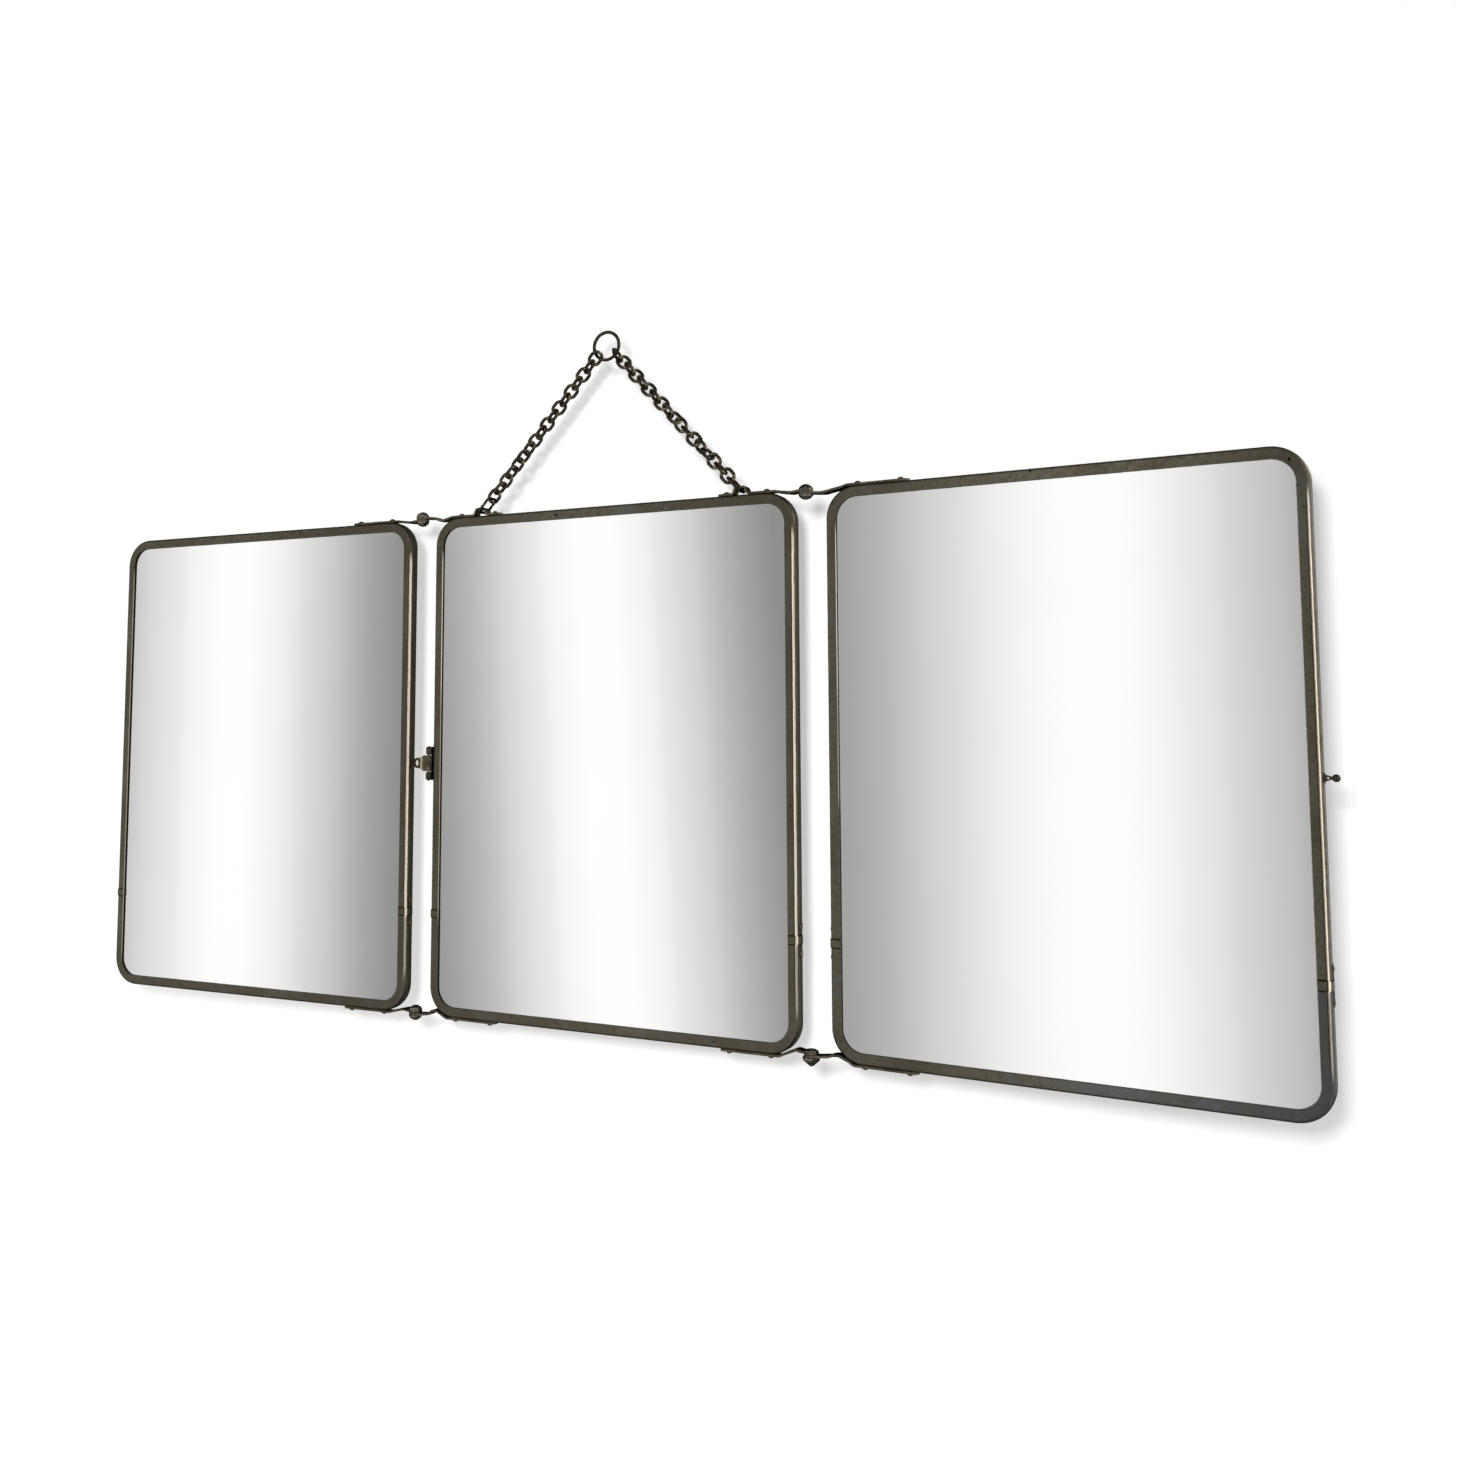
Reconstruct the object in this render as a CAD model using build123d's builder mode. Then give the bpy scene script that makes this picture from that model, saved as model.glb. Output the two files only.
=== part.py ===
"""Three-panel folding wall mirror in channel frames, hung by a chain from a ring.

Millimetres, +Z up, X to the viewer's right, Y into the wall.
The origin is the centre of the hanging ring, and the chain hangs in the plane Y = 0.
Each panel has its own front plane: x across the panel, y up, z towards the viewer.
"""

import os
from math import copysign, cos, hypot, radians, sin, sqrt, tan

from build123d import *

os.makedirs("parts", exist_ok=True)

# Panels: a folded metal channel round a glass and a board
panel_width = 240.0
panel_height = 304.0
frame_depth = 7.5
flange_width = 6.0
sheet = 0.8  # thickness of the channel metal
corner_radius = 17.5  # outer corner, seen from the front
front_bend = 1.2  # inside radius of the fold at the front
back_bend = 0.3  # inside radius of the fold at the back
lip_turn = 0.5  # how far the front flange's edge turns in towards the glass
lip_round = 0.3
glass_thickness = 3.0
packing_thickness = 0.4
glass_margin = 1.2  # play between the glass and the channel, all round
joint_drop = 91.0  # the two U pieces meet this far below the panel's centre
joint_gap = 0.1

# Clips over the joints of the U pieces
clip_thickness = 0.45
clip_band = 4.6  # height of the band that laps the front flange
clip_screw_pitch = 14.6
clip_lobe_radius = 2.2
clip_neck = 2.6
screw_radius = 0.6
screw_head = 1.0
screw_dome = 0.5
screw_rim = 0.15
screw_slot = 0.25
screw_end = 0.4  # how far a screw stands inside the channel

# Gaps between the panels, and where the wings pivot
hinge_gap = 18.0
folded_face_gap = 2.0  # left wing's face to the centre's face, folded shut
folded_stack_gap = 0.8  # right wing's face to the left wing's back, folded shut
left_rest_angle = 1.8  # how far each wing stands forward of flat at rest
right_rest_angle = 3.9

# Hinge straps
strap_width = 5.8
strap_thickness = 1.2
strap_reach = 47.0  # from the panel's side to the strap's end
strap_bend = 3.0
strap_slant = 32.0  # in plan, between the eye and the rail
slant_start = 3.0  # from the pin
slant_bend = 4.0
eye_radius = 4.0
eye_gap = 0.3  # air between the two straps of a hinge
ramp_start = 9.0  # from the pin: here a strap starts to rise or drop to its rail
ramp_end = 21.0
bow_rise = 1.8  # run of the bend up to a strap's bow
bow_flat = 3.0
outer_rivet_inset = 17.5  # from the panel's side
rivet_end = 5.0  # from the inner rivet to the strap's end
rivet_radius = 1.1
rivet_head = 1.9
rivet_dome = 1.4
rivet_rim = 0.3
rivet_tail_head = 1.7
rivet_tail = 0.4
rivet_seat = 0.3  # the tail closes this far inside, clear of the corner's curve
hole_play = 0.05  # radial, in every rivet, screw and pin hole

# Arches in the centre panel's top straps, for the chain
arch_inset = 32.7  # from the panel's side
arch_height = 3.8  # clear height under the arch
arch_half_width = 2.9
arch_foot = 1.6
arch_bend = 1.6
arch_foot_bend = 0.8
arch_play = 0.7  # the chain's wire hangs this far below the arch

# Pivot pins
pin_radius = 1.5
pin_end_play = 0.15  # between a dome and the strap it bears on
nut_bore = 1.6
dome_radius = 4.0
dome_rim = 0.3
groove_depth = 0.35
groove_height = 0.3
acorn_radius = 4.7
acorn_ring = 1.1
acorn_tip = 1.3
acorn_cone = 4.4
acorn_button = 3.5

# Hanging ring and chain
ring_outer = 18.7
ring_wire = 2.0
ring_play = 0.5
grip_angle = 40.0  # below the horizontal, where the first links hang on the ring
link_wire = 2.0
link_length = 10.26
link_width = 8.8
link_corner = 3.2
link_play = 0.05
link_cut = 0.5  # the open butt of the bent wire
link_count = 18
end_link_wire = 1.7
end_link_length = 12.4
end_link_width = 10.4
end_link_corner = 1.9
left_lay = (34.0, 0.0)  # how the links lie about the arm, near the ring and near the arch
right_lay = (34.0, 180.0)
lay_start = 7  # the link where the lay starts to turn
lay_span = 9

# Hasp on the centre panel's left side
hasp_plate = 0.6
hasp_height = 20.4
hasp_plate_depth = 6.3  # how far back the hasp plate reaches from the front plane
hasp_corner = 0.8
knuckle_radius = 1.8
knuckle_height = 5.0
knuckle_round = 1.2
knuckle_play = 0.3
knuckle_lift = 2.1  # pin axis from the panel's side
hasp_pin_radius = 0.6
hasp_pin_forward = 0.6  # pin axis forward of the front plane
hasp_pin_end = 0.4
hasp_screw_depth = 4.0
hasp_screw_pitch = 14.0
tongue_thickness = 0.9
tongue_tip_width = 5.6
tongue_waist = 7.4
tongue_root = 4.8  # from the pin, where the tongue's full height ends
tongue_shoulder = 6.6  # where its waist begins
tongue_crank = 1.0
crank_run = 1.4
crank_bend = 0.6
tongue_rim = 0.8  # metal left round the hole at its end
tongue_rest_angle = 20.0  # behind the panel's plane

# Knob on the right panel's right side
knob_depth = 3.0  # behind the right panel's front plane
knob_ball_radius = 1.75
knob_reach = 5.0  # ball centre from the panel's side
knob_hole_play = 0.25
knob_foot_height = 4.6
knob_foot_depth = 2.6
knob_foot = 0.5
knob_base = 3.4
knob_neck = 1.4
knob_thickness = 1.6
knob_eye_radius = 0.5
knob_eye_reach = 1.7
knob_shank_radius = 0.8

up = Vector(0, 0, 1)
back = Vector(0, 1, 0)
half_width = panel_width / 2
half_height = panel_height / 2
glass_front = sheet + lip_turn
packing_front = glass_front + glass_thickness
board_front = packing_front + packing_thickness
board_thickness = frame_depth - sheet - board_front
front_round = front_bend + sheet
back_round = back_bend + sheet
rivet_insets = (outer_rivet_inset, strap_reach - rivet_end)
wall_middle = (frame_depth + front_round - back_round) / 2  # middle of a side wall's flat
left_pivot_forward = folded_face_gap / 2
right_pivot_forward = left_pivot_forward + (frame_depth + folded_stack_gap) / 2

# The chain's own sizes set how far the panels hang below the ring
ring_radius = (ring_outer - ring_wire) / 2
link_half = (link_length - link_wire) / 2
end_link_half = (end_link_length - end_link_wire) / 2
first_step = link_half - (link_wire + ring_wire) / 2 - ring_play
link_pitch = 2 * link_half - link_wire - link_play
last_step = link_half + end_link_half - (link_wire + end_link_wire) / 2 - link_play
end_link_place = first_step + (link_count - 1) * link_pitch + last_step
arm_length = end_link_place + end_link_half
grip_x = ring_radius * cos(radians(grip_angle))
grip_z = -ring_radius * sin(radians(grip_angle))
arch_x = half_width - arch_inset
arch_wire_z = grip_z - sqrt(arm_length**2 - (arch_x - grip_x) ** 2)
panel_top = arch_wire_z - arch_height + end_link_wire / 2 + arch_play
panel_level = panel_top - half_height


def turned(plane, pivot, angle):
    """The plane, swung about the vertical line through the pivot."""
    return Plane(
        origin=(plane.origin - pivot).rotate(Axis.Z, angle) + pivot,
        x_dir=plane.x_dir.rotate(Axis.Z, angle),
        z_dir=plane.z_dir.rotate(Axis.Z, angle),
    )


def flat_front(x):
    return Plane(origin=(x, front_y, panel_level), x_dir=(1, 0, 0), z_dir=(0, -1, 0))


front_y = -frame_depth / 2
pivot_x = half_width + hinge_gap / 2
panel_step = panel_width + hinge_gap
left_pivot = Vector(-pivot_x, front_y - left_pivot_forward, 0)
right_pivot = Vector(pivot_x, front_y - right_pivot_forward, 0)
fronts = {
    "left": turned(flat_front(-panel_step), left_pivot, left_rest_angle),
    "centre": flat_front(0),
    "right": turned(flat_front(panel_step), right_pivot, -right_rest_angle),
}


def edge_plane(front, side):
    """The outer face of one rail: z out of the panel, y back from the front plane."""
    outward, along, reach = {
        "top": (up, front.x_dir, half_height),
        "bottom": (-up, -front.x_dir, half_height),
        "left": (-front.x_dir, up, half_width),
        "right": (front.x_dir, -up, half_width),
    }[side]
    return Plane(origin=front.origin + outward * reach, x_dir=along, z_dir=outward)


def save(part, node):
    part.label = node
    export_step(part, f"parts/{node}.step")


# Hinges: level is the height of the air between the two eyes, above the panels' edge.
# Domes are the outline of the pin's head and of its nut: (radius, height) from the strap.
plain = [(dome_radius, 0), (dome_radius, dome_rim)]
groove_top = dome_rim + groove_height
grooved = plain + [
    (dome_radius - groove_depth, dome_rim),
    (dome_radius - groove_depth, groove_top),
    (dome_radius - groove_depth / 2, groove_top),
    (dome_radius - groove_depth / 2, groove_top + dome_rim / 2),
]
acorn = [
    (acorn_radius - groove_depth / 2, 0),
    (acorn_radius, acorn_ring / 2),
    (acorn_radius - groove_depth / 2, acorn_ring),
    (acorn_radius - 2 * groove_depth, acorn_ring),
    (acorn_radius - 2 * groove_depth, acorn_ring + groove_height),
    (acorn_radius - groove_depth, acorn_ring + groove_height),
    (acorn_radius - groove_depth, acorn_ring + 2 * groove_height),
    (acorn_tip, acorn_cone),
]
button = [(acorn_button, 0), (acorn_button, groove_height)]
hinges = {
    "top_left": {
        "pivot": left_pivot,
        "edge": "top",
        "level": -0.25,
        "upper": "centre",
        "head": (grooved, 3.4),
        "nut": (plain, 2.8),
    },
    "top_right": {
        "pivot": right_pivot,
        "edge": "top",
        "level": -2.6,
        "upper": "centre",
        "head": (plain, 2.9),
        "nut": (plain, 2.7),
    },
    "bottom_left": {
        "pivot": left_pivot,
        "edge": "bottom",
        "level": 1.6,
        "upper": "left",
        "head": (plain, 2.8),
        "nut": (plain, 3.2),
    },
    "bottom_right": {
        "pivot": right_pivot,
        "edge": "bottom",
        "level": 4.2,
        "upper": "centre",
        "head": (button, 1.3),
        "nut": (acorn, 4.9),
    },
}

# Straps: the bow is how far some of them swerve between the eye and the rail
straps = {
    "left_top_strap": {"panel": "left", "hinge": "top_left"},
    "left_bottom_strap": {"panel": "left", "hinge": "bottom_left"},
    "centre_top_left_strap": {"panel": "centre", "hinge": "top_left", "bow": -1.5},
    "centre_bottom_left_strap": {"panel": "centre", "hinge": "bottom_left", "bow": 2.2},
    "centre_top_right_strap": {"panel": "centre", "hinge": "top_right"},
    "centre_bottom_right_strap": {"panel": "centre", "hinge": "bottom_right"},
    "right_top_strap": {"panel": "right", "hinge": "top_right"},
    "right_bottom_strap": {"panel": "right", "hinge": "bottom_right", "bow": 0.6},
}
edge_height = {"top": panel_level + half_height, "bottom": panel_level - half_height}


def rivet_places(panel, edge):
    """Where the strap rivets go through one rail, in that rail's edge plane."""
    hinge_sides = {"left": [1], "centre": [-1, 1], "right": [-1]}[panel]
    turn = 1 if edge == "top" else -1
    reaches = [turn * (half_width - inset) for inset in rivet_insets]
    return [(side * reach, frame_depth / 2) for side in hinge_sides for reach in reaches]


def clip_places(side):
    """Where the clip's screws go through one side rail, in its edge plane."""
    turn = -1 if side == "left" else 1
    half_pitch = clip_screw_pitch / 2
    return [(turn * (joint_drop + step), wall_middle) for step in (-half_pitch, half_pitch)]


hasp_places = [(step, hasp_screw_depth) for step in (-hasp_screw_pitch / 2, hasp_screw_pitch / 2)]


def rail_holes(panel):
    """Every hole in one panel's channel: the rail's plane, the places and the radius."""
    front = fronts[panel]
    holes = []
    for edge in edge_height:
        holes.append((edge_plane(front, edge), rivet_places(panel, edge), rivet_radius))
    for side in ("left", "right"):
        holes.append((edge_plane(front, side), clip_places(side), screw_radius))
    if panel == "centre":
        holes.append((edge_plane(front, "left"), hasp_places, screw_radius))
    if panel == "right":
        holes.append((edge_plane(front, "right"), [(0, knob_depth)], knob_shank_radius))
    return holes


def channel(panel, keep):
    """The folded channel of one panel, above or below the joint of its two U pieces."""
    front = fronts[panel]
    out = Axis(front.origin, front.z_dir)
    offcut = -joint_drop + (joint_gap / 2 if keep == Keep.TOP else -joint_gap / 2)
    width = panel_width - 2 * flange_width
    height = panel_height - 2 * flange_width
    radius = corner_radius - flange_width
    with BuildPart() as body:
        with BuildSketch(front):
            RectangleRounded(panel_width, panel_height, corner_radius)
        extrude(amount=-frame_depth)
        fillet(body.faces().sort_by(out)[-1].edges(), front_round)
        fillet(body.faces().sort_by(out)[0].edges(), back_round)
        offset(amount=-sheet, mode=Mode.SUBTRACT)
        with BuildSketch(front):
            RectangleRounded(width, height, radius)
        extrude(amount=-frame_depth, mode=Mode.SUBTRACT)
        with BuildSketch(front.offset(-sheet / 2)):
            RectangleRounded(width + 2 * sheet, height + 2 * sheet, radius + sheet)
            RectangleRounded(width, height, radius, mode=Mode.SUBTRACT)
        extrude(amount=-sheet / 2 - lip_turn)
        fillet(body.faces().sort_by(out)[-1].inner_wires()[0].edges(), lip_round)
        for rail, places, hole_radius in rail_holes(panel):
            with BuildSketch(rail):
                with Locations(*places):
                    Circle(hole_radius + hole_play)
            extrude(amount=-2 * sheet, mode=Mode.SUBTRACT)
        split(bisect_by=Plane(origin=front.origin + up * offcut, z_dir=up), keep=keep)
    return body.part


def inner_sheet(panel, depth, thickness):
    """A flat sheet inside the channel: the glass, the packing or the board."""
    inset = sheet + glass_margin
    with BuildPart() as body:
        with BuildSketch(fronts[panel].offset(-depth)):
            RectangleRounded(panel_width - 2 * inset, panel_height - 2 * inset, corner_radius - inset)
        extrude(amount=-thickness)
    return body.part


def joint_clips(panel):
    """Two clips, one on each side rail: a screwed side plate and a band over the front."""
    front = fronts[panel]
    outside = half_width + clip_thickness / 2
    bend_x = half_width - front_round
    bend_radius = front_round + clip_thickness / 2
    band_end = half_width - flange_width + lip_round
    with BuildPart() as body:
        for side, turn in (("left", -1), ("right", 1)):
            with BuildSketch(edge_plane(front, side)):
                with Locations(*clip_places(side)):
                    Circle(clip_lobe_radius)
                with Locations((turn * joint_drop, wall_middle)):
                    Rectangle(clip_screw_pitch, clip_neck)
                    Rectangle(clip_band, 2 * clip_lobe_radius)
                with Locations(*clip_places(side)):
                    Circle(screw_radius + hole_play, mode=Mode.SUBTRACT)
            extrude(amount=clip_thickness)
            level = Plane(
                origin=front.origin - up * joint_drop, x_dir=front.x_dir * turn, z_dir=up * turn
            )
            with BuildSketch(level):
                with BuildLine():
                    Line((outside, wall_middle + clip_lobe_radius), (outside, front_round))
                    CenterArc((bend_x, front_round), bend_radius, 0, -90)
                    Line((bend_x, -clip_thickness / 2), (band_end, -clip_thickness / 2))
                trace(line_width=clip_thickness)
            extrude(amount=clip_band / 2, both=True)
    return body.part


def hinge_strap(panel, hinge, bow=0):
    """One strap: an eye on the hinge pin, a slant to the rail, a band along the rail."""
    front, place = fronts[panel], hinges[hinge]
    pivot, on_top = place["pivot"], place["edge"] == "top"
    side = copysign(1, (front.origin - pivot).dot(front.x_dir))
    inward = front.x_dir * side
    origin = Vector(pivot.X, pivot.Y, edge_height[place["edge"]])
    elevation = Plane(origin=origin, x_dir=inward, z_dir=inward.cross(up))
    plan = Plane(origin=origin, x_dir=inward, z_dir=up * side)
    offset_from_air = (eye_gap + strap_thickness) / 2
    eye = place["level"] + (offset_from_air if place["upper"] == panel else -offset_from_air)
    seat = strap_thickness / 2 if on_top else -strap_thickness / 2
    end = hinge_gap / 2 + strap_reach
    middle = front_y - pivot.Y + frame_depth / 2
    points = [(-eye_radius, eye), (ramp_start, eye)]
    bends = [strap_bend]
    if bow:
        bow_end = ramp_start + bow_rise + bow_flat
        points += [(ramp_start + bow_rise, eye + bow), (bow_end, eye + bow)]
        bends = [strap_thickness, strap_thickness, strap_bend]
    points.append((ramp_end, seat))
    bends.append(strap_bend)
    if panel == "centre" and on_top:
        arch = hinge_gap / 2 + arch_inset
        crown = arch_height + strap_thickness / 2
        for step in (-1, 1):
            foot = (arch + step * (arch_half_width + arch_foot), seat)
            shoulder = (arch + step * arch_half_width, crown)
            points += [foot, shoulder] if step < 0 else [shoulder, foot]
        bends += [arch_foot_bend, arch_bend, arch_bend, arch_foot_bend]
    points.append((end, seat))
    with BuildPart() as body:
        with BuildSketch(elevation):
            with BuildLine():
                FilletPolyline(*points, radius=bends)
            trace(line_width=strap_thickness)
        extrude(amount=panel_width, both=True)
        with BuildSketch(plan):
            slant_end = slant_start + middle / tan(radians(strap_slant))
            tip = end - strap_width / 2
            with BuildLine():
                FilletPolyline(
                    (0, 0), (slant_start, 0), (slant_end, middle), (tip, middle), radius=slant_bend
                )
            trace(line_width=strap_width)
            Circle(eye_radius)
            with Locations((tip, middle)):
                Circle(strap_width / 2)
            Circle(pin_radius + hole_play, mode=Mode.SUBTRACT)
            with Locations(*[(hinge_gap / 2 + inset, middle) for inset in rivet_insets]):
                Circle(rivet_radius + hole_play, mode=Mode.SUBTRACT)
        extrude(amount=eye_radius * 2, both=True, mode=Mode.INTERSECT)
    return body.part


def domed(outline, height, start):
    """Half outline of a domed turning, from radius and height pairs, seat at the start."""
    with BuildLine() as line:
        Polyline((0, start), *[(radius, start + rise) for radius, rise in outline])
        TangentArc((0, start + height), (outline[-1][0], start + outline[-1][1]), tangent=(1, 0))
        Line((0, start + height), (0, start))
    return line


def pivot_pin(hinge):
    """The pin of one hinge: a domed head over the straps, a plain shank into the nut."""
    place = hinges[hinge]
    pivot = place["pivot"]
    air = Vector(pivot.X, pivot.Y, edge_height[place["edge"]] + place["level"])
    seat = eye_gap / 2 + strap_thickness + pin_end_play
    with BuildPart() as pin:
        with BuildSketch(Plane(origin=air, x_dir=(1, 0, 0), z_dir=(0, -1, 0))):
            add(domed(*place["head"], seat))
            make_face()
            with Locations((pin_radius / 2, -nut_bore / 2)):
                Rectangle(pin_radius, 2 * seat + nut_bore)
        revolve(axis=Axis(air, up))
    with BuildPart() as nut:
        with BuildSketch(Plane(origin=air, x_dir=(1, 0, 0), z_dir=(0, 1, 0))):
            add(domed(*place["nut"], seat))
            make_face()
            with Locations((0, seat + nut_bore / 2)):
                Rectangle(2 * (pin_radius + hole_play), nut_bore, mode=Mode.SUBTRACT)
        revolve(axis=Axis(air, up))
    return pin.part, nut.part


def headed(shank, grip, outline, dome, tail_head=0, tail=0, slot=0):
    """A rivet or screw about +Z: the head stands on Z = 0, the shank goes down the grip."""
    with BuildPart() as body:
        with BuildSketch(Plane.XZ):
            add(domed(outline, dome, 0))
            make_face()
            with Locations((shank / 2, -grip / 2)):
                Rectangle(shank, grip)
            if tail:
                with Locations((tail_head / 2, -grip - tail / 2)):
                    Rectangle(tail_head, tail)
        revolve(axis=Axis.Z)
        if slot:
            with Locations((0, 0, dome)):
                Box(2 * outline[0][0], slot, dome, mode=Mode.SUBTRACT)
    return body.part


rivet = headed(
    rivet_radius,
    strap_thickness + sheet + rivet_seat,
    [(rivet_head, 0), (rivet_head, rivet_rim)],
    rivet_dome,
    tail_head=rivet_tail_head,
    tail=rivet_tail,
)
screw_outline = [(screw_head, 0), (screw_head, screw_rim)]
clip_screw = headed(
    screw_radius, clip_thickness + sheet + screw_end, screw_outline, screw_dome, slot=screw_slot
)
hasp_screw = headed(
    screw_radius, hasp_plate + sheet + screw_end, screw_outline, screw_dome, slot=screw_slot
)


def fasteners(kind, *groups):
    """Copies of one rivet or screw, set on the planes and places given."""
    with BuildPart() as body:
        for plane, places in groups:
            with Locations(*[plane.location * Pos(along, depth, 0) for along, depth in places]):
                add(kind)
    return body.part


for panel, front in fronts.items():
    save(channel(panel, Keep.TOP), f"{panel}_upper_frame")
    save(channel(panel, Keep.BOTTOM), f"{panel}_lower_frame")
    save(inner_sheet(panel, glass_front, glass_thickness), f"{panel}_glass")
    save(inner_sheet(panel, packing_front, packing_thickness), f"{panel}_packing_sheet")
    save(inner_sheet(panel, board_front, board_thickness), f"{panel}_backing_board")
    save(joint_clips(panel), f"{panel}_joint_clips")
    screw_groups = []
    for side in ("left", "right"):
        screw_groups.append((edge_plane(front, side).offset(clip_thickness), clip_places(side)))
    save(fasteners(clip_screw, *screw_groups), f"{panel}_joint_screws")
    rivet_groups = []
    for edge in edge_height:
        rivet_groups.append((edge_plane(front, edge).offset(strap_thickness), rivet_places(panel, edge)))
    save(fasteners(rivet, *rivet_groups), f"{panel}_strap_rivets")

for node, strap in straps.items():
    save(hinge_strap(**strap), node)

for hinge in hinges:
    pin, nut = pivot_pin(hinge)
    save(pin, f"{hinge}_pivot_pin")
    save(nut, f"{hinge}_pivot_nut")

# Hasp: its plate and pin stay on the centre panel, its tongue swings over the folded wings
left_side = edge_plane(fronts["centre"], "left")
pin_spot = left_side.origin + left_side.z_dir * knuckle_lift - left_side.y_dir * hasp_pin_forward
pin_section = Plane(origin=pin_spot, x_dir=left_side.z_dir, z_dir=up)
inner_knuckle = hasp_height / 2 - knuckle_height
barrel_radius = knuckle_lift - hasp_plate - knuckle_play
plate_front = -hasp_pin_forward
with BuildPart() as hasp_base:
    with BuildSketch(left_side):
        with Locations((0, (hasp_plate_depth + plate_front) / 2)):
            Rectangle(hasp_height, hasp_plate_depth - plate_front)
        fillet(vertices().group_by(Axis.Y)[-1], hasp_corner)
        with Locations(*hasp_places):
            Circle(screw_radius + hole_play, mode=Mode.SUBTRACT)
    extrude(amount=hasp_plate)
    for side in (-1, 1):
        with BuildPart(mode=Mode.PRIVATE) as knuckle:
            with BuildSketch(pin_section.offset(side * inner_knuckle)):
                Circle(knuckle_radius)
            extrude(amount=side * knuckle_height)
            fillet(knuckle.edges(), knuckle_round)
        add(knuckle)
    with BuildSketch(pin_section):
        Circle(hasp_pin_radius + hole_play)
    extrude(amount=hasp_height, both=True, mode=Mode.SUBTRACT)
save(hasp_base.part, "hasp_base")

with BuildPart() as hasp_pin:
    with BuildSketch(pin_section):
        Circle(hasp_pin_radius)
    extrude(amount=hasp_height / 2 + hasp_pin_end, both=True)
    fillet(hasp_pin.edges(), hasp_pin_end / 2)
save(hasp_pin.part, "hasp_pin")
save(fasteners(hasp_screw, (left_side.offset(hasp_plate), hasp_places)), "hasp_screws")

# Folded shut, the knob stands this far forward of the hasp's pin; the tongue's hole meets it
latch_forward = 2 * right_pivot_forward + knob_depth - hasp_pin_forward
knob_swing = hypot(latch_forward, knob_reach - knuckle_lift)
tongue_hole = (latch_forward + knob_swing) / 2
tongue_hole_radius = knob_ball_radius + knob_hole_play
tongue_end = tongue_hole + tongue_hole_radius + tongue_rim
tongue_height = 2 * (inner_knuckle - knuckle_play)
tongue_out = left_side.z_dir.rotate(Axis.Z, -tongue_rest_angle)
tongue_plan = Plane(origin=pin_spot, x_dir=tongue_out, z_dir=up)
tongue_face = Plane(origin=pin_spot, x_dir=tongue_out, z_dir=tongue_out.cross(up))
with BuildPart() as hasp_tongue:
    with BuildSketch(tongue_plan):
        with BuildLine():
            FilletPolyline(
                (0, 0),
                (tongue_root, 0),
                (tongue_root + crank_run, tongue_crank),
                (tongue_root + 2 * crank_run, 0),
                (tongue_end, 0),
                radius=crank_bend,
            )
        trace(line_width=tongue_thickness)
    extrude(amount=tongue_height, both=True)
    with BuildSketch(tongue_face):
        with BuildLine():
            Polyline(
                (0, 0),
                (0, tongue_height / 2),
                (tongue_root, tongue_height / 2),
                (tongue_shoulder, tongue_waist / 2),
                (tongue_end, tongue_tip_width / 2),
                (tongue_end, 0),
            )
            mirror(about=Plane.XZ)
        make_face()
        fillet(vertices().sort_by(Axis.X)[-2:], tongue_tip_width / 2 - crank_bend)
        with Locations((tongue_hole, 0)):
            Circle(tongue_hole_radius, mode=Mode.SUBTRACT)
    extrude(amount=tongue_height, both=True, mode=Mode.INTERSECT)
    with BuildSketch(pin_section):
        Circle(barrel_radius)
    extrude(amount=tongue_height / 2, both=True)
    with BuildSketch(pin_section):
        Circle(hasp_pin_radius + hole_play)
    extrude(amount=hasp_height, both=True, mode=Mode.SUBTRACT)
save(hasp_tongue.part, "hasp_tongue")

# Knob: a pierced bracket with a ball, riveted to the right panel's outer side
right_side = edge_plane(fronts["right"], "right")
knob_spot = right_side.origin + right_side.y_dir * knob_depth
with BuildPart() as knob:
    with BuildSketch(right_side):
        with Locations((0, knob_depth)):
            Rectangle(knob_foot_height, knob_foot_depth)
        fillet(vertices(), hasp_corner)
    extrude(amount=knob_foot)
    with BuildSketch(Plane(origin=knob_spot, x_dir=right_side.z_dir, z_dir=right_side.y_dir)):
        with BuildLine():
            Polyline(
                (0, -knob_base / 2),
                (knob_reach - knob_ball_radius, -knob_neck / 2),
                (knob_reach, -knob_neck / 2),
                (knob_reach, knob_neck / 2),
                (knob_reach - knob_ball_radius, knob_neck / 2),
                (0, knob_base / 2),
                close=True,
            )
        make_face()
        with Locations((knob_eye_reach, 0)):
            Circle(knob_eye_radius, mode=Mode.SUBTRACT)
    extrude(amount=knob_thickness / 2, both=True)
    with Locations(Pos(knob_spot + right_side.z_dir * knob_reach)):
        Sphere(knob_ball_radius)
    with BuildSketch(right_side):
        with Locations((0, knob_depth)):
            Circle(knob_shank_radius)
    extrude(amount=-sheet - screw_end)
save(knob.part, "catch_knob")

# Hanging ring and the two chain arms
with BuildPart() as hanging_ring:
    Torus(ring_radius, ring_wire / 2, rotation=(90, 0, 0))
save(hanging_ring.part, "hanging_ring")


def wire_link(length, width, wire, corner):
    """One bent wire link, long along x and flat on z, its butt in the +y side."""
    half = (length - wire) / 2
    side = (width - wire) / 2
    with BuildPart() as link:
        with BuildLine():
            FilletPolyline(
                (link_cut / 2, side),
                (half, side),
                (half, -side),
                (-half, -side),
                (-half, side),
                (-link_cut / 2, side),
                radius=corner,
            )
        with BuildSketch(Plane(origin=(link_cut / 2, side, 0), z_dir=(1, 0, 0))):
            Circle(wire / 2)
        sweep()
    return link.part


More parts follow.
